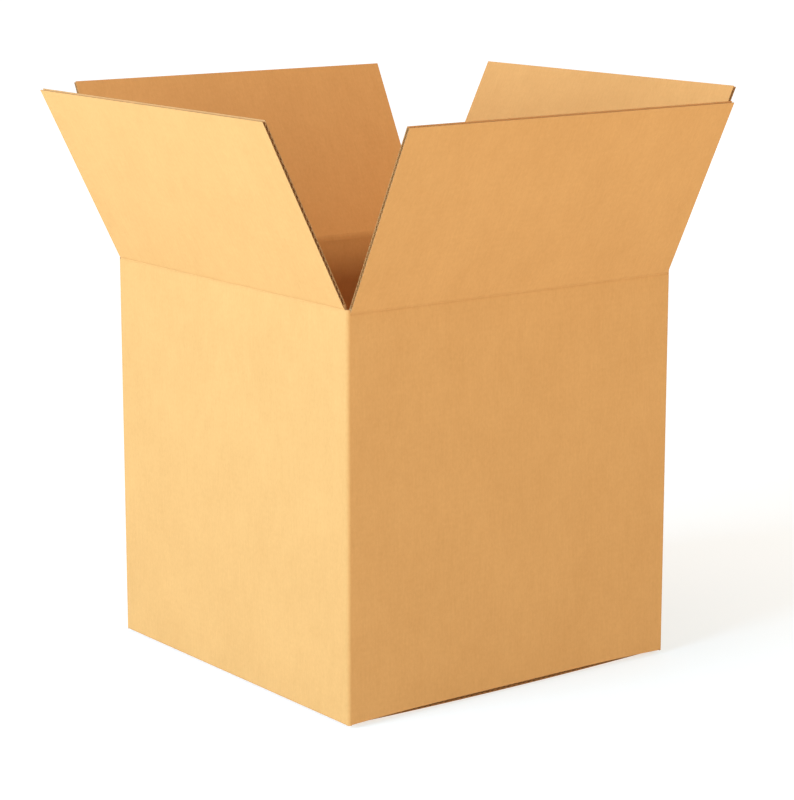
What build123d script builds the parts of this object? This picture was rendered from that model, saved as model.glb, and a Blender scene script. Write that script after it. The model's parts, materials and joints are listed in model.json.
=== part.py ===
from build123d import *
from math import cos, pi
import os

# A regular slotted carton of single-wall corrugated board, set up and standing open.
# The body is one folded and glued sheet. The four top flaps are hinged at their scores.
# +Z is up, -Y is the front, and the origin is on the ground under the middle of the box.

# ---- Driving dimensions, in millimetres and degrees ----
inside_width = 457.0    # along X, between the walls that carry the outer flaps
inside_length = 457.0   # along Y, between the walls that carry the inner flaps
wall_height = 464.0     # from the ground up to the mean level of the top scores
board = 4.0             # thickness of the board
corner_radius = 4.0     # outside of the four upright folds
fold_radius = 3.0       # outside of the bottom folds
seam_gap = 1.0          # between two flaps that meet edge to edge
side_gap = 0.5          # between a flap's side edge and the inner face of the wall beside it
hinge_gap = 0.3         # between a top flap's rounded root and the wall below it
layer_gap = 0.3         # between the closed inner flaps and the outer flaps that lie on them
rest_tilt = 26.5        # how far each open flap leans outward from upright
open_limit = 135.0      # the furthest that a flap folds outward from upright
tab_width = 35.0        # glue tab that joins the ends of the sheet, inside the right wall
tab_end_gap = 8.0       # between the glue tab's ends and the floor and the top score
flute_pitch = 7.5       # from one flute of the corrugated core to the next
flute_base = 0.75       # part of the pitch that an open flute takes at its liner
liner = 0.4             # thickness of each flat face paper
medium = 0.4            # thickness of the wavy core paper
flute_depth = 12.0      # how deep the open flutes are modelled behind a cut edge
crushed_root = 4.0      # flat-pressed stretch of a flap next to its score
plain_tip = 0.6         # solid stretch of a flap at its free edge

# ---- Values worked out from them ----
outside_width = inside_width + 2 * board
outside_length = inside_length + 2 * board
axis_x = (inside_width + board) / 2
axis_y = (inside_length + board) / 2
axis_step = board + layer_gap
inner_axis_z = wall_height - axis_step / 2
outer_axis_z = wall_height + axis_step / 2
inner_wall_top = inner_axis_z - board / 2 - hinge_gap
outer_wall_top = outer_axis_z - board / 2 - hinge_gap
outer_flap_length = axis_x - seam_gap / 2
inner_flap_length = min(axis_x, axis_y) - seam_gap / 2
outer_flap_width = inside_length - 2 * side_gap
inner_flap_width = inside_width - 2 * side_gap
floor_level = 2 * board


def wall_ring():
    """The four walls: a tube with rounded upright folds and rounded bottom folds."""
    middle = Pos(0, 0, inner_wall_top / 2)
    block = middle * Box(outside_width, outside_length, inner_wall_top)
    block = fillet(block.edges().filter_by(Axis.Z), corner_radius)
    block = fillet(block.edges().group_by(Axis.Z)[0], fold_radius)
    return block - middle * Box(inside_width, inside_length, 2 * inner_wall_top)


def raised_walls():
    """The outer flaps' walls reach one board thickness higher than the other two."""
    height = outer_wall_top - inner_wall_top
    strip = Box(board, outer_flap_width, height + board)
    centre_z = outer_wall_top - (height + board) / 2
    return [Pos(side * axis_x, 0, centre_z) * strip for side in (-1, 1)]


def inner_bottom_flaps():
    """Folded in first, from the front and back walls: they make the floor inside."""
    depth = axis_y - seam_gap / 2
    slab = Box(inner_flap_width, depth, board)
    centre_z = floor_level - board / 2
    return [Pos(0, side * (axis_y - depth / 2), centre_z) * slab for side in (-1, 1)]


def outer_bottom_flaps():
    """Folded in last, from the side walls: the box stands on them."""
    depth = axis_x - seam_gap / 2
    slab = Box(depth, outer_flap_width, board)
    return [Pos(side * (axis_x - depth / 2), 0, board / 2) * slab for side in (-1, 1)]


def glue_tab():
    """The sheet's end tab, glued to the inside of the right wall at the back corner."""
    bottom = floor_level + tab_end_gap
    top = inner_wall_top - tab_end_gap
    centre_x = (inside_width - board) / 2
    centre_y = (inside_length - tab_width) / 2
    return Pos(centre_x, centre_y, (bottom + top) / 2) * Box(board, tab_width, top - bottom)


def hinge_frame(turn, reach, axis_z):
    """Where a top flap's axis lies: its X is the axis, its -Y points out of the box."""
    return Rot(0, 0, turn) * Pos(0, -reach, axis_z)


def hinge_relief(width):
    """What a wall's outer top edge gives up so that its flap can fold right back."""
    reach = board / 2 + hinge_gap
    block = Pos(0, (5 * board - reach) / 2, 0) * Box(width, 5 * board + reach, 6 * board)
    return Rot(open_limit, 0, 0) * block


def flute_outline():
    """One open flute in the section of the board: a half wave that stands on a liner."""
    half_base = flute_base * flute_pitch / 2
    height = board - 2 * liner - medium
    steps = [-1, -0.6, -0.25, 0, 0.25, 0.6, 1]
    wave = Spline(*[(height * cos(pi * step / 2), half_base * step) for step in steps])
    return make_face([wave, Line(wave @ 1, wave @ 0)])


def flap_section(length, with_flutes):
    """The flap cut across its axis: a round root at the axis and a flat leaf above it."""
    section = Pos(0, length / 2) * Rectangle(board, length) + Circle(board / 2)
    if not with_flutes:
        return section
    flute = flute_outline()
    face_offset = board / 2 - liner
    first = crushed_root + flute_pitch / 2
    last = length - plain_tip - flute_pitch / 2
    count = int((last - first) / (flute_pitch / 2)) + 1
    for index in range(count):
        height = first + index * flute_pitch / 2
        if index % 2 == 0:
            section -= Pos(-face_offset, height) * flute
        else:
            section -= Pos(face_offset, height) * Rot(0, 0, 180) * flute
    return section


def top_flap(length, width):
    """An upright flap: its axis lies along X through the origin, and it faces -Y."""
    plain = extrude(Plane.YZ * flap_section(length, False), width / 2 - flute_depth, both=True)
    cut_edge = extrude(Plane.YZ * flap_section(length, True), flute_depth)
    near_end = Pos(width / 2 - flute_depth, 0, 0) * cut_edge
    far_end = Pos(-width / 2, 0, 0) * cut_edge
    return plain + near_end + far_end


# ---- The four hinges: name, turn about Z, distance out, axis height, flap length and width ----
hinges = [
    ("flap_front", 0, axis_y, inner_axis_z, inner_flap_length, inner_flap_width),
    ("flap_back", 180, axis_y, inner_axis_z, inner_flap_length, inner_flap_width),
    ("flap_right", 90, axis_x, outer_axis_z, outer_flap_length, outer_flap_width),
    ("flap_left", 270, axis_x, outer_axis_z, outer_flap_length, outer_flap_width),
]

parts = {}

carton_body = wall_ring() + raised_walls()
for name, turn, reach, axis_z, length, width in hinges:
    carton_body -= hinge_frame(turn, reach, axis_z) * hinge_relief(width + 4 * board)
carton_body = carton_body + inner_bottom_flaps() + outer_bottom_flaps() + glue_tab()
parts["carton_body"] = carton_body

for name, turn, reach, axis_z, length, width in hinges:
    leaf = top_flap(length, width)
    parts[name] = hinge_frame(turn, reach, axis_z) * Rot(rest_tilt, 0, 0) * leaf

os.makedirs("parts", exist_ok=True)
for name, shape in parts.items():
    shape.label = name
    export_step(shape, f"parts/{name}.step")
    print(name, "solids", len(shape.solids()), "volume", round(shape.volume))
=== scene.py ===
# %% [markdown]
# # A corrugated carton, set up and standing open
# A regular slotted carton is one sheet of corrugated board. It is cut, scored, folded
# into a tube and glued along a tab. Its bottom flaps are closed, and its four top
# flaps stand open. The bodies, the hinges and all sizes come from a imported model, and
# this notebook makes the board itself: its papers, flutes, folds, scores and finish.

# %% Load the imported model
import json
import math

import bpy
import numpy as np
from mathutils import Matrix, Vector


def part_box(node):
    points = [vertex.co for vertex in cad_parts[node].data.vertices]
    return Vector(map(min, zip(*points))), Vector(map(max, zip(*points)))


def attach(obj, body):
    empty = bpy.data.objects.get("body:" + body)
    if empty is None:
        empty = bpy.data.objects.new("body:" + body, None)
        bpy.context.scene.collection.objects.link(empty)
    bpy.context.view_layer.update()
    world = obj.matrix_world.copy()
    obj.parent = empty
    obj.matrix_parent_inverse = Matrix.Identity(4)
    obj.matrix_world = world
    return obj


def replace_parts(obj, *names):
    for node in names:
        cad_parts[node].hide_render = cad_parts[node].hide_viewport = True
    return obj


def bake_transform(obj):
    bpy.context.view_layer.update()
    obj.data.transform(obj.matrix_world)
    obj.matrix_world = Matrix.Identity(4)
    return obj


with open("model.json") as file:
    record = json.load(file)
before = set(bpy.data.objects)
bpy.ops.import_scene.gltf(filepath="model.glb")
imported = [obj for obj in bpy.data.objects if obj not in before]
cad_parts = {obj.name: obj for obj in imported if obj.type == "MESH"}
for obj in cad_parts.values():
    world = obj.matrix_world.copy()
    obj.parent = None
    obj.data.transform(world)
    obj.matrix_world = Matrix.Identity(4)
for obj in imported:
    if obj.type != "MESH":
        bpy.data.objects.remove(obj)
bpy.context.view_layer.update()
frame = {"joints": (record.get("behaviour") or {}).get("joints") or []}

# %% [markdown]
# ## Sizes that the model already holds
# The hinge axes lie in the middle of the board's thickness, so the distance from an
# axis to the outside of the wall is half the board. The width of a flap, its length and
# how far it leans all follow from the model in the same way. Reading them from there,
# and not typing them again, keeps the looks and the mechanics the same size.

# %% Read the sizes of the board and the box
MM = 0.001
up = Vector((0, 0, 1))
hinges = {joint["child"]: joint for joint in frame["joints"]}
_, walls_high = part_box("carton_body")
outside = walls_high.x                                  # half the width of the box
reach = abs(hinges["flap_right"]["pos_m"][0])           # from the middle to a hinge axis
board = 2 * (outside - reach)
rest_tilt = math.radians(-hinges["flap_front"]["range_deg"][0] - 90)
_, flap_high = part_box("flap_front")
half_flap = flap_high.x
tip_rise = flap_high.z - hinges["flap_front"]["pos_m"][2] - board / 2 * math.sin(rest_tilt)
flap_length = tip_rise / math.cos(rest_tilt)
crease_z = sum(joint["pos_m"][2] for joint in hinges.values()) / len(hinges)
print(f"board {board / MM:.1f} mm, flap {flap_length / MM:.1f} x {2 * half_flap / MM:.1f} mm")
print(f"flaps lean {math.degrees(rest_tilt):.1f} degrees, scores at {crease_z / MM:.1f} mm")

# %% [markdown]
# ## Sizes that only the eye needs
# The model's board is solid, so the papers inside it are chosen here. Board like this
# has a wave about every 7.5 mm between two papers of roughly 0.4 mm. The rest are small
# sizes that several pieces share: the folds' radius, the score strips and the slots.

# %% Choose the sizes of papers, folds and scores
liner = 0.45 * MM           # each of the two flat face papers
medium = 0.42 * MM          # the wavy paper between them
flute_pitch = 7.5 * MM
fold_radius = 0.4 * MM      # inside of a fold
score_reach = 5.5 * MM      # from a hinge axis to either edge of its score strip
slot_rise = 2 * MM          # from the scores up to the bottom of the corner slots
bottom_bow = 3 * MM         # how far the closed bottom bulges below its side folds
print(f"papers {liner / MM:.2f} and {medium / MM:.2f} mm, waves {flute_pitch / MM:.1f} mm apart")

# %% [markdown]
# ## Board out of cells
# Corrugated board is a stack: a face paper, a wave and another face paper, with open
# tunnels between. Boolean cuts could drill the tunnels, but a block of cells is simpler.
# Each cell of a bent grid is either paper or air, and a face is made only where paper
# meets air. Every mesh that comes out of it is closed, with no loose or doubled face.
# The first axis of a block runs through the board, so a face across it is flat paper at
# the outside and wavy or inner paper inside. A face across either other axis is a cut.

# %% Find the faces between paper and air
FACE, CUT, FLUTE = 0, 1, 2      # a face's finish: flat paper, knife cut or inner paper


def faces_between(filled, numbers, ring):
    """Quads where a filled cell meets an empty one, and the finish of each."""
    quads, kinds = [], []
    for axis in range(3):
        edge = [(1, 1) if a == axis else (0, 0) for a in range(3)]
        padded = np.pad(filled, edge)
        if ring and axis == 1:
            padded[:, 0] = padded[:, -2]
            padded[:, -1] = padded[:, -2]
        below = np.delete(padded, -1, axis)
        above = np.delete(padded, 0, axis)
        for mask, order in ((below & ~above, (0, 1, 2, 3)), (above & ~below, (3, 2, 1, 0))):
            cells = np.argwhere(mask)
            corners = []
            for step in ((0, 0), (1, 0), (1, 1), (0, 1)):
                corner = cells.copy()
                corner[:, (axis + 1) % 3] += step[0]
                corner[:, (axis + 2) % 3] += step[1]
                corners.append(numbers[tuple(corner.T)])
            quads.append(np.stack(corners, 1)[:, list(order)])
            outermost = (cells[:, axis] == 0) | (cells[:, axis] == filled.shape[axis])
            kinds.append(np.full(len(cells), CUT) if axis else np.where(outermost, FACE, FLUTE))
    return np.concatenate(quads), np.concatenate(kinds)


three_papers = np.array([1, 0, 1, 0, 1], bool).reshape(5, 1, 1)
quads, kinds = faces_between(three_papers, np.arange(24).reshape(6, 2, 2), ring=False)
print(f"three papers, one cell long: {len(quads)} faces, {(kinds == CUT).sum()} of them cuts")

# %% [markdown]
# ## From faces to a piece
# Only the points that a face uses are kept. The sum of each face's direction against its
# place tells whether the block was bent inside out, and then every face is turned over.
# Two attributes go with the points: where each one lies on the flat sheet, which the
# papers' patterns follow, and how much painted shade it carries along a score's crease.

# %% Build a mesh with its attributes
sharp_angle = math.radians(40)


def board_mesh(name, places, sheet, wear, filled, ring=False):
    """A piece of board: places has a point for each corner of each cell."""
    shape = places.shape[:3]
    numbers = np.arange(shape[0] * shape[1] * shape[2]).reshape(shape)
    if ring:
        numbers[:, -1] = numbers[:, 0]
    quads, kinds = faces_between(filled, numbers, ring)
    used, quads = np.unique(quads, return_inverse=True)
    quads = quads.reshape(-1, 4)
    points = places.reshape(-1, 3)[used]
    a, b, c, d = (points[quads[:, i]] for i in range(4))
    if (np.cross(c - a, d - b) * (a + b + c + d)).sum() < 0:
        quads = quads[:, ::-1]
    mesh = bpy.data.meshes.new(name)
    mesh.from_pydata(points.tolist(), [], quads.tolist())
    mesh.polygons.foreach_set("material_index", kinds.astype(np.int32))
    flat = mesh.attributes.new("sheet", "FLOAT_VECTOR", "POINT")
    flat.data.foreach_set("vector", sheet.reshape(-1, 3)[used].astype(np.float32).ravel())
    # the second attribute carries painted shade along the scores' creases
    crease_shading = mesh.attributes.new("wear", "FLOAT", "POINT")
    crease_shading.data.foreach_set("value", wear.ravel()[used].astype(np.float32))
    mesh.shade_smooth()
    mesh.set_sharp_from_angle(angle=sharp_angle)
    piece = bpy.data.objects.new(name, mesh)
    bpy.context.scene.collection.objects.link(piece)
    print(f"{name}: {len(quads)} faces")
    return piece


print("a face is smooth up to", round(math.degrees(sharp_angle)), "degrees from the next")

# %% [markdown]
# ## Where a point of the sheet goes
# Four panels share one way of saying where a point is: how far along the hinge, how far
# out from the middle of the board and how far up from the hinge. The hinge's own axis and
# the upright give the three directions, so one function serves all four sides.

# %% Turn panel measures into places
def panel(name):
    """The hinge's position, its direction, the way out of the box and the panel's number."""
    joint = hinges[name]
    along = Vector(joint["axis"])
    outward = along.cross(up)
    number = round(math.degrees(math.atan2(outward.y, outward.x)) / 90 + 1) % 4
    return np.array(joint["pos_m"]), np.array(along), np.array(outward), number


def on_panel(name, s, out, rise):
    """World points from distances along, out and up, measured at the hinge."""
    position, along, outward, _ = panel(name)
    s, out, rise = np.broadcast_arrays(s, out, rise)
    vertical = rise[..., None] * np.array(up)
    return position + s[..., None] * along + out[..., None] * outward + vertical


def on_sheet(name, s, out, rise):
    """The same points on the flat sheet: round the box, up the box and through the board."""
    position, _, _, number = panel(name)
    s, out, rise = np.broadcast_arrays(s, out, rise)
    return np.stack([number * 2 * outside + s, position[2] + rise, out], -1)


def smooth(t):
    """Eases from 0 to 1 as t does, and stays at either end."""
    t = np.clip(t, 0, 1)
    return t * t * (3 - 2 * t)


print("panels:", {name: panel(name)[3] for name in hinges})

# %% [markdown]
# ## The section of the board
# Seen from its cut side, the wave touches one face paper and then the other. It could be a
# sine curve, but then it would touch at a point with no width. Here the sine is made a
# little too tall and clipped, which leaves the narrow glued contact that real flutes have.

# %% Stack the papers along a strip of board
flute_steps = 10            # points along one wave
overshoot = 1.12            # how much too tall the sine is before it is clipped
contact = 0.02 * MM         # the glue between a wave's crest and a face paper


def flute_stack(start, end, plain_start=0.0, plain_end=0.0):
    """Stations along the board, the six levels through it at each, and the filled cells."""
    step = flute_pitch / flute_steps
    count = max(2, int(round((end - start) / step)))
    stations = np.linspace(start, end, count + 1)
    swing = board / 2 - liner - medium / 2
    phase = 2 * math.pi * (np.arange(count + 1) + 0.5) / flute_steps
    wave = swing * overshoot * np.cos(phase)
    wave = np.clip(wave, contact - swing, swing - contact)
    face = board / 2 - liner
    levels = np.stack([
        np.full(count + 1, board / 2),
        np.full(count + 1, face),
        wave + medium / 2,
        wave - medium / 2,
        np.full(count + 1, -face),
        np.full(count + 1, -board / 2),
    ])
    filled = np.ones((5, count), bool)
    for gap in (1, 3):
        open_here = levels[gap] - levels[gap + 1] > 2 * contact
        filled[gap] = ~(open_here[:-1] | open_here[1:])
    middle = (stations[:-1] + stations[1:]) / 2
    filled[:, (middle < start + plain_start) | (middle > end - plain_end)] = True
    return stations, levels, filled


stations, levels, filled = flute_stack(0, 4 * flute_pitch)
print(f"four flutes: {levels.shape[1]} stations, {(~filled).sum()} open cells")

# %% [markdown]
# ## The papers' colour
# Kraft liner is brown and matt. It has faint clouds where the pulp settled unevenly, fine
# fibres that run with the paper machine, and a few darker specks. An image could carry all
# of this, but noise that reads the flat sheet's own coordinates has no seams, and it runs
# on over folds and scores. A small class lets the shader maths be written as plain sums.

# %% Write shader maths as Python expressions
class Wire:
    """One output of a material's nodes, which can be added, multiplied and compared."""

    def __init__(self, tree, socket=None):
        self.tree = tree
        self.socket = socket

    def node(self, kind, settings, inputs, output=0):
        """Adds a node: its settings first, then a value or a wire for each named socket."""
        made = self.tree.nodes.new(kind)
        for name, value in settings.items():
            setattr(made, name, value)
        for name, value in inputs.items():
            if isinstance(value, Wire):
                self.tree.links.new(value.socket, made.inputs[name])
            else:
                made.inputs[name].default_value = value
        return Wire(self.tree, made.outputs[output] if made.outputs else None)

    def math(self, operation, first, second=0.0):
        return self.node("ShaderNodeMath", {"operation": operation}, {0: first, 1: second})

    def __add__(self, other):
        return self.math("ADD", self, other)

    __radd__ = __add__

    def __sub__(self, other):
        return self.math("SUBTRACT", self, other)

    def __rsub__(self, other):
        return self.math("SUBTRACT", other, self)

    def __mul__(self, other):
        return self.math("MULTIPLY", self, other)

    __rmul__ = __mul__

    def __truediv__(self, other):
        return self.math("DIVIDE", self, other)

    def __rtruediv__(self, other):
        return self.math("DIVIDE", other, self)

    def __gt__(self, other):
        return self.math("GREATER_THAN", self, other)

    def __lt__(self, other):
        return self.math("LESS_THAN", self, other)


trial = bpy.data.node_groups.new("trial", "ShaderNodeTree")
half = Wire(trial).math("ADD", 0.25, 0.25)
print("1 - half is a", (1 - half).socket.node.operation, "node")
bpy.data.node_groups.remove(trial)

# %% [markdown]
# ## Tools for the papers
# Every finish starts from an empty material, reads some noise and mixes colours. Noise in
# Blender lies about 0.5, so half is taken off, and a sum of several stays about zero. Its
# scale has one value for each direction, which is how streaks and fibres are made.

# %% Start a material, make noise and mix colours
def new_material(name):
    """An empty material and a first wire into its tree."""
    material = bpy.data.materials.new(name)
    material.use_nodes = True
    material.node_tree.nodes.clear()
    return material, Wire(material.node_tree)


def noise(tree, place, scale, detail=3.0):
    """Noise about zero whose cells are 1/scale metres, with a scale for each direction."""
    stretched = tree.node("ShaderNodeVectorMath", {"operation": "MULTIPLY"}, {0: place, 1: scale})
    inputs = {"Vector": stretched, "Scale": 1.0, "Detail": detail}
    return tree.node("ShaderNodeTexNoise", {}, inputs) - 0.5


def blend_colours(tree, factor, dark, light):
    """The dark colour at 0, the light one at 1."""
    settings = {"data_type": "RGBA", "clamp_factor": True}
    return tree.node("ShaderNodeMix", settings, {0: factor, 6: dark, 7: light}, output=2)


print("helpers:", new_material.__name__, noise.__name__, blend_colours.__name__)

# %% [markdown]
# ## Kraft liner
# The tone is one number from dark to light. Clouds, streaks, mottle and fibres each push it
# a little, and the ripples of the washboard over the flutes add a faint painted shade. The
# two end colours are mixed by the tone.
# Specks are the rare peaks of one more noise, and an attribute from the scores darkens
# their outside towards the speck colour: painted shade along the creases. The same grain
# and washboard, as a height, give the surface its slight tooth.

# %% Mix the liner
KRAFT_DARK = (0.552, 0.258, 0.076, 1)
KRAFT_LIGHT = (0.696, 0.348, 0.114, 1)
SPECK_AND_CREASE_SHADE = (0.384, 0.166, 0.054, 1)
rare = 0.27                 # only the peaks of the specks' noise pass this


def kraft_liner():
    """Brown, matt paper with the grain of the machine that made it."""
    material, tree = new_material("kraft_liner")
    place = tree.node("ShaderNodeAttribute", {"attribute_name": "sheet"}, {}, output="Vector")
    crease_shading = tree.node("ShaderNodeAttribute", {"attribute_name": "wear"}, {}, output="Fac")
    up_sheet = tree.node("ShaderNodeSeparateXYZ", {}, {0: place}, output=1)
    clouds = noise(tree, place, (14, 11, 400))
    patches = noise(tree, place, (70, 45, 400))
    streaks = noise(tree, place, (420, 28, 400))
    mottle = noise(tree, place, (360, 210, 400), 2.0)
    fibres = noise(tree, place, (2600, 900, 400), 2.0)
    ridges = tree.math("SINE", up_sheet * (2 * math.pi / flute_pitch))
    specks = noise(tree, place, (900, 700, 400), 1.0) > rare
    tone = 0.5 + clouds * 0.4 + patches * 0.3 + streaks * 0.3 + mottle * 0.5 + fibres * 0.5
    # painted shade: the tone follows the washboard's ripples, lighter on their crests and darker
    # in their hollows
    tone = tone + ridges * 0.012
    colour = blend_colours(tree, tone, KRAFT_DARK, KRAFT_LIGHT)
    # specks are the paper's own colour; the scores' attribute adds painted shade along the
    # creases
    colour = blend_colours(tree, specks * 0.35 + crease_shading * 0.08, colour, SPECK_AND_CREASE_SHADE)
    height = fibres * 0.6 + streaks * 0.4 + mottle * 0.5 + ridges * 0.07
    bumps = tree.node("ShaderNodeBump", {}, {
        "Strength": 0.5, "Distance": 0.00012, "Height": height,
    })
    surface = tree.node("ShaderNodeBsdfPrincipled", {}, {
        "Base Color": colour, "Roughness": 0.86 + fibres * 0.2,
        "Specular IOR Level": 0.15, "Normal": bumps,
    })
    tree.node("ShaderNodeOutputMaterial", {}, {"Surface": surface})
    return material


liner_finish = kraft_liner()
print("material:", liner_finish.name, len(liner_finish.node_tree.nodes), "nodes")

# %% [markdown]
# ## Cut edges and flutes
# Where a knife went through, the papers show their inside, which is darker and furry. The
# wavy paper and the backs of the face papers, inside the tunnels, are painted lighter than
# the liner: painted light, so that the deep tunnels read as lit. Both are a simpler version
# of the liner, so one function mixes both, with its own two colours for each.

# %% Mix the cut paper and the inner paper
CUT_DARK = (0.30, 0.150, 0.055, 1)
CUT_LIGHT = (0.46, 0.230, 0.085, 1)
# painted light: the inner papers are lighter than the liner so that the tunnels read as lit
LIT_FLUTE_DARK = (0.58, 0.310, 0.115, 1)
LIT_FLUTE_LIGHT = (0.74, 0.420, 0.160, 1)


def raw_paper(name, dark, light):
    """Rough paper: fine fur over soft clouds."""
    material, tree = new_material(name)
    place = tree.node("ShaderNodeAttribute", {"attribute_name": "sheet"}, {}, output="Vector")
    fur = noise(tree, place, (1500, 1500, 3000))
    soft = noise(tree, place, (90, 90, 90))
    colour = blend_colours(tree, 0.5 + fur * 1.3 + soft * 0.5, dark, light)
    bumps = tree.node("ShaderNodeBump", {}, {"Strength": 0.6, "Distance": 0.0002, "Height": fur})
    surface = tree.node("ShaderNodeBsdfPrincipled", {}, {
        "Base Color": colour, "Roughness": 0.92 + fur * 0.1,
        "Specular IOR Level": 0.15, "Normal": bumps,
    })
    tree.node("ShaderNodeOutputMaterial", {}, {"Surface": surface})
    return material


cut_finish = raw_paper("cut_paper", CUT_DARK, CUT_LIGHT)
# the inner papers' finish carries painted light inside the tunnels
lit_flute_finish = raw_paper("flute_paper", LIT_FLUTE_DARK, LIT_FLUTE_LIGHT)
print("materials:", cut_finish.name, "and", lit_flute_finish.name)


def dress(piece):
    """Gives a piece its three finishes, in the order of their numbers."""
    for finish in (liner_finish, cut_finish, lit_flute_finish):
        piece.data.materials.append(finish)
    return piece


# %% [markdown]
# ## The four walls
# The walls are one tube. It could be four plates, but the upright folds are part of the
# same sheet, so the grid runs round all four sides and closes on itself. The first cell
# lists the stations of one turn round the box: a flat stretch for each wall, then the
# quarter turn of the fold beside it.

# %% List the stations round the box
corner_steps = 8            # flats round one upright fold


def wall_stations():
    """Panel, along and out on the outer face and on the inner one, and if it is in a fold."""
    outer_radius = fold_radius + board
    centre = outside - outer_radius
    rows = []
    for name in sorted(hinges, key=lambda n: panel(n)[3]):
        rows.append((name, -half_flap, board / 2, -half_flap, -board / 2, False))
        rows.append((name, half_flap, board / 2, half_flap, -board / 2, True))
        for turn in np.linspace(0, math.pi / 2, corner_steps + 1):
            c, s = math.cos(turn), math.sin(turn)
            low = centre - reach
            rows.append((name, centre + outer_radius * s, low + outer_radius * c,
                         centre + fold_radius * s, low + fold_radius * c, True))
    return rows


print("stations round the box:", len(wall_stations()))

# %% [markdown]
# ## Six heights for three kinds of stretch
# The walls end where other pieces take over: the bottom folds below and the score strips
# above. The upright folds go further both ways, down to the box's feet and up to the
# bottom of the slots. All of these are levels of one grid, and each stretch fills the
# cells between its own two levels.

# %% Make the walls
side_fold_top = 12 * MM     # where the side walls hand over to their bottom folds
front_fold_top = 16 * MM    # the same for the front and back walls
foot_rise = 1.3 * MM        # how far the corners' feet stop above the side folds


def make_walls():
    """One tube, with each stretch filled between its own levels."""
    rows = wall_stations()
    foot = bottom_bow + foot_rise
    side_edge = hinges["flap_right"]["pos_m"][2] - score_reach
    front_edge = hinges["flap_front"]["pos_m"][2] - score_reach
    slot_bottom = crease_z + slot_rise
    heights = np.array([foot, side_fold_top, front_fold_top, front_edge, side_edge, slot_bottom])
    corner_cells, side_cells, front_cells = slice(0, 5), slice(1, 4), slice(2, 3)
    places = np.zeros((2, len(rows) + 1, len(heights), 3))
    sheet = np.zeros_like(places)
    wear = np.zeros(places.shape[:3])
    filled = np.zeros((1, len(rows), len(heights) - 1), bool)
    for j, (name, s_out, out, s_in, inn, corner) in enumerate(rows + rows[:1]):
        rise = heights - panel(name)[0][2]
        places[0, j] = on_panel(name, s_out, out, rise)
        places[1, j] = on_panel(name, s_in, inn, rise)
        sheet[0, j] = on_sheet(name, s_out, board / 2, rise)
        sheet[1, j] = on_sheet(name, s_in, -board / 2, rise)
        if j < len(rows):
            wall_cells = side_cells if panel(name)[3] % 2 else front_cells
            filled[0, j, corner_cells if corner else wall_cells] = True
    return board_mesh("walls", places, sheet, wear, filled, ring=True)


walls = dress(make_walls())
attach(walls, "carton")
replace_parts(walls, "carton_body")

# %% [markdown]
# ## The bottom
# The inner bottom flaps fold in first, from the front and the back, and the outer ones
# close over them from the sides, so the box stands on the outer pair. Each flap is one
# strip with its fold, swept along a path that runs down the wall, round and inwards. The
# closed bottom isn't flat: held only at its folds, it bulges a few millimetres, and the
# strips are pushed down by a gentle arch.

# %% Run a strip down the wall, round the fold and inwards
bend_radius = fold_radius + board / 2      # from a fold's centre to the middle of the board


def fold_path(travel, level, out, top):
    """How far out and how high a point of the strip is, and how far it is past the fold."""
    straight = top - level - bend_radius
    turned = np.clip((travel - straight) / bend_radius, 0, math.pi / 2)
    flat = np.maximum(travel - straight - bend_radius * math.pi / 2, 0)
    inward = bend_radius * (1 - np.cos(turned)) + flat - out * np.cos(turned)
    height = top - np.minimum(travel, straight) - (bend_radius + out) * np.sin(turned)
    return -inward, height, flat


out, height, _ = fold_path(100 * MM, board / 2, 0, side_fold_top)
print(f"after 100 mm the strip is {-out / MM:.1f} mm in and {height / MM:.1f} mm up")

# %% [markdown]
# ## Four flaps from one function
# Beside its fold a flap is pressed flat for a few millimetres, and there it changes from
# the fold's height to its own. The front and back folds lie higher than the side ones,
# with the outer flaps' cut edges showing under them, and they dip towards the corners.

# %% Make the bottom flaps
seam = 1 * MM               # between two bottom flaps that meet
crushed = 4 * MM            # pressed stretch of a bottom flap beside its fold
plain_root = 3 * MM         # stretch past the fold with no open flutes
across_steps = 16           # cells along a fold, enough for the arch


def make_bottom_flap(piece_name, side, top, edge_level, flap_level, trim, dip):
    """The fold's lower edge and the flap's underside may lie at different heights."""
    level = edge_level + board / 2
    folded = top - level - bend_radius + bend_radius * math.pi / 2
    length = folded + reach - bend_radius - seam / 2
    travel, levels, filled = flute_stack(0, length, plain_start=folded + plain_root)
    out, height, flat = fold_path(travel[None, :], level, levels, top)
    half_width = half_flap - trim * smooth(flat / crushed)
    s = np.linspace(-1, 1, across_steps + 1)[None, None, :] * half_width[..., None]
    rise = height[..., None] - panel(side)[0][2]
    places = on_panel(side, s, out[..., None], rise)
    across = places[..., 0] / reach
    arch = flap_level - edge_level - bottom_bow * (1 - across ** 2)
    lip = -dip * across ** 4
    pressed = smooth(flat / crushed)[..., None]
    fade = smooth((top - height) / (top - edge_level - board))[..., None]
    places[..., 2] += pressed * arch + (1 - pressed) * fade * lip
    below = top - travel - panel(side)[0][2]
    sheet = on_sheet(side, s, levels[..., None], below[None, :, None])
    cells = np.repeat(filled[:, :, None], s.shape[2] - 1, axis=2)
    piece = dress(board_mesh(piece_name, places, sheet, np.zeros(places.shape[:3]), cells))
    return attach(piece, "carton")


outer_trim = 4 * MM         # how much narrower an outer flap is, at each side, than its fold
inner_edge = 6 * MM         # the front fold's lower edge, at its middle
corner_dip = 2.6 * MM       # how much lower that edge is at the corners
layer_gap = 0.15 * MM       # air between the inner and the outer flaps
inner_level = bottom_bow + board + layer_gap
for end in ("left", "right"):
    make_bottom_flap("bottom_outer_" + end, "flap_" + end, side_fold_top,
                     bottom_bow, bottom_bow, outer_trim, 0)
for end in ("front", "back"):
    make_bottom_flap("bottom_inner_" + end, "flap_" + end, front_fold_top,
                     inner_edge, inner_level, 0, corner_dip)

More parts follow.
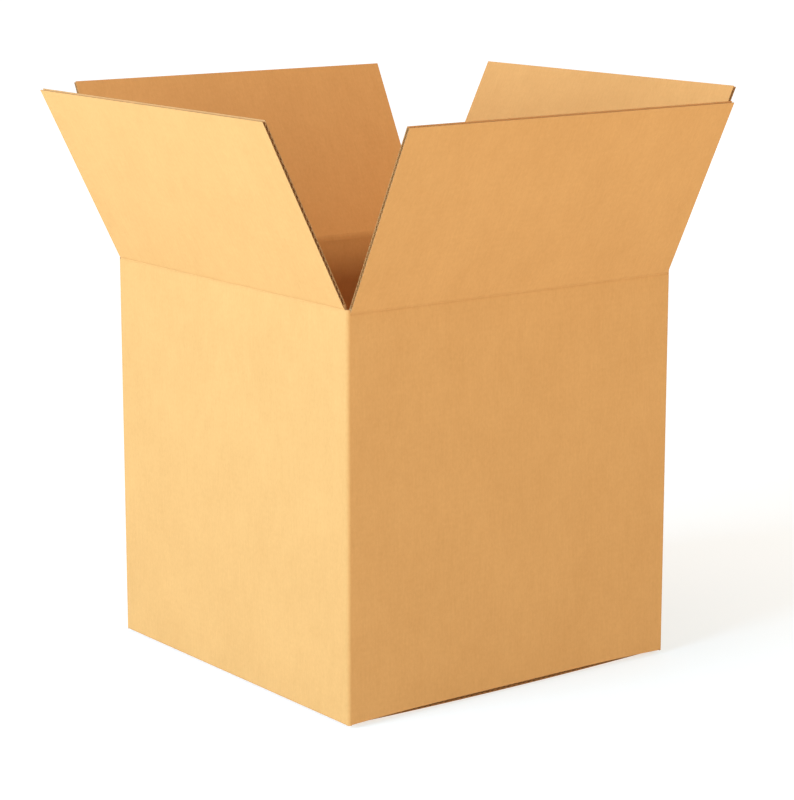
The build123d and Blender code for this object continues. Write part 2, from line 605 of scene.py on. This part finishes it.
# %% [markdown]
# ## The glue tab
# The two ends of the sheet meet at the back right corner, and a tab of the back wall is
# glued inside the right wall. Its free upright edge is a knife cut across the flutes, so
# the same stack of papers is stood on end there. Its two ends are cut back at a slant, as
# on every such tab, so that it clears the flaps.

# %% Stand the tab on end
tab_width = 35 * MM
tab_margin = 16 * MM        # from the tab's ends to the ground and to the hinge axis
tab_slant = 10 * MM         # how much shorter the free edge is, at each end
tab_plain = 2 * MM          # stretch at each end with no open flutes
tab_clearance = 0.2 * MM    # between the tab's root and the back wall


def make_glue_tab():
    """The tab's two stations along the wall: the free edge first, then the root."""
    low = tab_margin
    high = hinges["flap_back"]["pos_m"][2] - tab_margin
    rise, levels, filled = flute_stack(low, high, tab_plain, tab_plain)
    corner = outside - board
    s = np.array([corner - tab_width, corner - tab_clearance])
    shorter = np.array([tab_slant, 0])
    squeeze = 1 - 2 * shorter / (high - low)
    height = (low + high) / 2 + (rise[:, None] - (low + high) / 2) * squeeze
    depth = levels[..., None] - board
    side = panel("flap_right")[0][2]
    places = on_panel("flap_right", s[None, None, :], depth, height[None] - side)
    flat = on_sheet("flap_right", s[None, None, :], depth, height[None] - side)
    cells = np.repeat(filled[:, :, None], 1, axis=2)
    piece = dress(board_mesh("glue_tab", places, flat, np.zeros(places.shape[:3]), cells))
    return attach(piece, "carton")


make_glue_tab()

# %% [markdown]
# ## The top flaps
# A flap is a leaf of board with its flutes along the hinge, so its two side edges show the
# waves end on, and its free edge shows a dark slot between the face papers. It starts at
# the score's far edge, and it leans outwards about the hinge's axis.

# %% Lean a leaf out at each hinge
leaf_plain = 1 * MM         # stretch beside the score with no open flutes


def lean(out, rise, angle):
    """Turns a point outwards about the hinge axis."""
    return out * np.cos(angle) + rise * np.sin(angle), rise * np.cos(angle) - out * np.sin(angle)


def make_leaf(side):
    """A flat leaf from the score's edge to the flap's free edge."""
    rise, levels, filled = flute_stack(score_reach, flap_length, plain_start=leaf_plain)
    s = np.array([-half_flap, half_flap])
    out, height = lean(levels, rise[None, :], rest_tilt)
    places = on_panel(side, s[None, None, :], out[..., None], height[..., None])
    flat = on_sheet(side, s[None, None, :], levels[..., None], rise[None, :, None])
    cells = filled[:, :, None]
    piece = dress(board_mesh(side + "_leaf", places, flat, np.zeros(places.shape[:3]), cells))
    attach(piece, side)
    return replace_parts(piece, side)


for side in hinges:
    make_leaf(side)

# %% [markdown]
# ## The scores
# A score is a line pressed into the board before it is folded. It crushes the flutes, so
# the board is thinner there and bends, with a groove on both faces. It belongs to the wall
# and to the flap, so it is attached to neither body: the strip is built bent, in the open
# pose, between the wall and the leaf. All of the bend lies in its middle, so that its edges
# stay flush with the wall and the leaf.

# %% Press a score along each hinge
score_half_width = 3.5 * MM # half width of both grooves
outer_groove = 0.4 * MM     # their depths
inner_groove = 0.5 * MM
bend_half_width = 2.6 * MM  # half width of the part that bends
crease_shade_half_width = 2.2 * MM       # half width of the painted crease shade on the outer face
score_steps = 44            # cells over the strip


def make_score(side):
    """A strip that is grooved on both faces and bends between the wall and the flap."""
    rise = np.linspace(-score_reach, score_reach, score_steps + 1)
    press = np.cos(np.clip(rise / score_half_width, -1, 1) * math.pi / 2) ** 2
    levels = np.stack([board / 2 - outer_groove * press, inner_groove * press - board / 2])
    angle = rest_tilt * smooth((rise + bend_half_width) / (2 * bend_half_width))
    s = np.linspace(-half_flap, half_flap, 2)
    out, height = lean(levels, rise[None, :], angle[None, :])
    places = on_panel(side, s[None, None, :], out[..., None], height[..., None])
    flat = on_sheet(side, s[None, None, :], levels[..., None], rise[None, :, None])
    # painted shade: the outer face darkens along the middle of each score, where the crease's
    # shade falls
    line = np.exp(-((rise / crease_shade_half_width) ** 2))
    outer_only = np.array([1.0, 0.0])[:, None, None]
    wear = line[None, :, None] * outer_only * np.ones(places.shape[:3])
    cells = np.ones((1, len(rise) - 1, 1), bool)
    piece = dress(board_mesh(side + "_score", places, flat, wear, cells))
    position, _, outward, _ = panel(side)
    top_out, top_rise = lean(0, bend_half_width, rest_tilt)
    end = position + top_out * outward + top_rise * np.array(up)
    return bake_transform(piece)


for side in hinges:
    make_score(side)

# %% [markdown]
# ## The floor
# A studio floor has no horizon: far behind the object it curves up into a wall. A flat
# square would be simpler, but its edge would show from low down. Here it is a round floor
# with a raised rim on all sides.

# %% Lay the floor
cove_start = 24             # metres from the middle of the box
cove_height = 5
cove_steps = 8
floor_sides = 96
floor_hole = 0.01           # radius of the flat face that closes the middle


def make_floor():
    """A round floor whose rim curves up, so that no horizon shows behind the box."""
    profile = [(floor_hole, 0.0), (cove_start, 0.0)]
    for turn in np.linspace(0, math.pi / 2, cove_steps + 1)[1:]:
        out, rise = math.sin(turn), 1 - math.cos(turn)
        profile.append((cove_start + cove_height * out, cove_height * rise))
    points, quads = [], []
    for ring, (radius, height) in enumerate(profile):
        for step in range(floor_sides):
            angle = 2 * math.pi * step / floor_sides
            points.append((radius * math.cos(angle), radius * math.sin(angle), height))
            if ring:
                after = (step + 1) % floor_sides
                inner, outer = (ring - 1) * floor_sides, ring * floor_sides
                quads.append((inner + step, outer + step, outer + after, inner + after))
    quads.append(tuple(range(floor_sides)))
    mesh = bpy.data.meshes.new("floor")
    mesh.from_pydata(points, [], quads)
    mesh.shade_smooth()
    floor = bpy.data.objects.new("floor", mesh)
    bpy.context.scene.collection.objects.link(floor)
    print(f"floor: {len(quads)} faces")
    return floor


floor = make_floor()

# %% [markdown]
# ## The floor's finish
# The floor glows a little, so that it stays clean right up to the box, and it glows more
# further off, where the lights don't reach. More lamps could do that, but they would light
# the box too. The glow's colour follows the distance, and its strength stays at 1.

# %% Let the floor glow
DIM = (0.57, 0.61, 0.61, 1)
BRIGHT = (0.95, 0.95, 0.95, 1)
FLOOR_GREY = (0.5, 0.5, 0.5, 1)
dim_within = 0.7            # metres from the middle of the box
bright_beyond = 4.5


def pale_floor():
    """A matt floor that glows, dimmer near the box."""
    material, tree = new_material("pale_floor")
    place = tree.node("ShaderNodeNewGeometry", {}, {}, output="Position")
    length = {"operation": "LENGTH"}
    distance = tree.node("ShaderNodeVectorMath", length, {0: place}, output="Value")
    far = (distance - dim_within) / (bright_beyond - dim_within)
    surface = tree.node("ShaderNodeBsdfPrincipled", {}, {
        "Base Color": FLOOR_GREY, "Roughness": 0.9, "Specular IOR Level": 0.0,
        "Emission Color": blend_colours(tree, far, DIM, BRIGHT), "Emission Strength": 1.0,
    })
    tree.node("ShaderNodeOutputMaterial", {}, {"Surface": surface})
    return material


floor.data.materials.append(pale_floor())
print("floor finish:", floor.data.materials[0].name)

# %% [markdown]
# ## The sky
# A studio's white walls light an object a little from all sides. A world background does
# the same with one node. It is pale blue and weak, because the lamps do most of the work.

# %% Make a pale sky
world = bpy.data.worlds.new("sky")
bpy.context.scene.world = world
world.use_nodes = True
sky = world.node_tree.nodes["Background"]
sky.inputs["Color"].default_value = (0.71, 0.90, 1.0, 1)
sky.inputs["Strength"].default_value = 0.24
print("sky strength:", round(sky.inputs["Strength"].default_value, 2))

# %% [markdown]
# ## The lights
# One large soft light from the left, cool as a window, makes the left wall the brightest.
# A small one in front stands just high enough to shine over the front flap, and the edge
# of that flap's shadow falls on the back wall, a little under its score. A warm one from
# above fills the inside.

# %% Set the lights
light_target = (0, 0, 0.35)     # a point inside the box


def soft_light(name, place, size, colour, power):
    """A square light that faces the box."""
    data = bpy.data.lights.new(name, "AREA")
    data.shape = "SQUARE"
    data.size = size
    data.color = colour
    data.energy = power
    light = bpy.data.objects.new(name, data)
    light.location = place
    aim = Vector(light_target) - light.location
    light.rotation_euler = aim.to_track_quat("-Z", "Y").to_euler()
    bpy.context.scene.collection.objects.link(light)
    print(f"{name}: {power:.0f} W")


soft_light("key", (-3.3, 0.1, 1.5), size=2.4, colour=(0.46, 0.72, 1.0), power=228)
soft_light("front", (0.5, -3.5, 2.04), size=0.22, colour=(1.0, 0.94, 0.85), power=49)
soft_light("top", (0.0, 0.4, 3.4), size=2.6, colour=(1.0, 0.67, 0.47), power=64)
bpy.context.scene.view_settings.view_transform = "Standard"

# %% [markdown]
# ## The camera
# The camera stands off the front left corner, higher than the open flaps' tips, and looks
# down by about 12 degrees. It could stand close with a short lens, but then the upright
# edges would splay. Its lens is long, so they stay nearly parallel.

# %% Stand the camera
def aim_camera(place, azimuth, elevation, lens):
    """Azimuth and elevation, in degrees, say from which side; the lens is in millimetres."""
    data = bpy.data.cameras.new("camera")
    data.lens = lens
    camera = bpy.data.objects.new("camera", data)
    a, e = math.radians(azimuth), math.radians(elevation)
    back = Vector((math.sin(a) * math.cos(e), -math.cos(a) * math.cos(e), math.sin(e)))
    camera.location = place
    camera.rotation_euler = (-back).to_track_quat("-Z", "Y").to_euler()
    bpy.context.scene.collection.objects.link(camera)
    bpy.context.scene.camera = camera


aim_camera((-1.8281, -2.4305, 0.9411), azimuth=-37.093, elevation=11.890, lens=117.27)
print("camera:", [round(value, 2) for value in bpy.context.scene.camera.location])
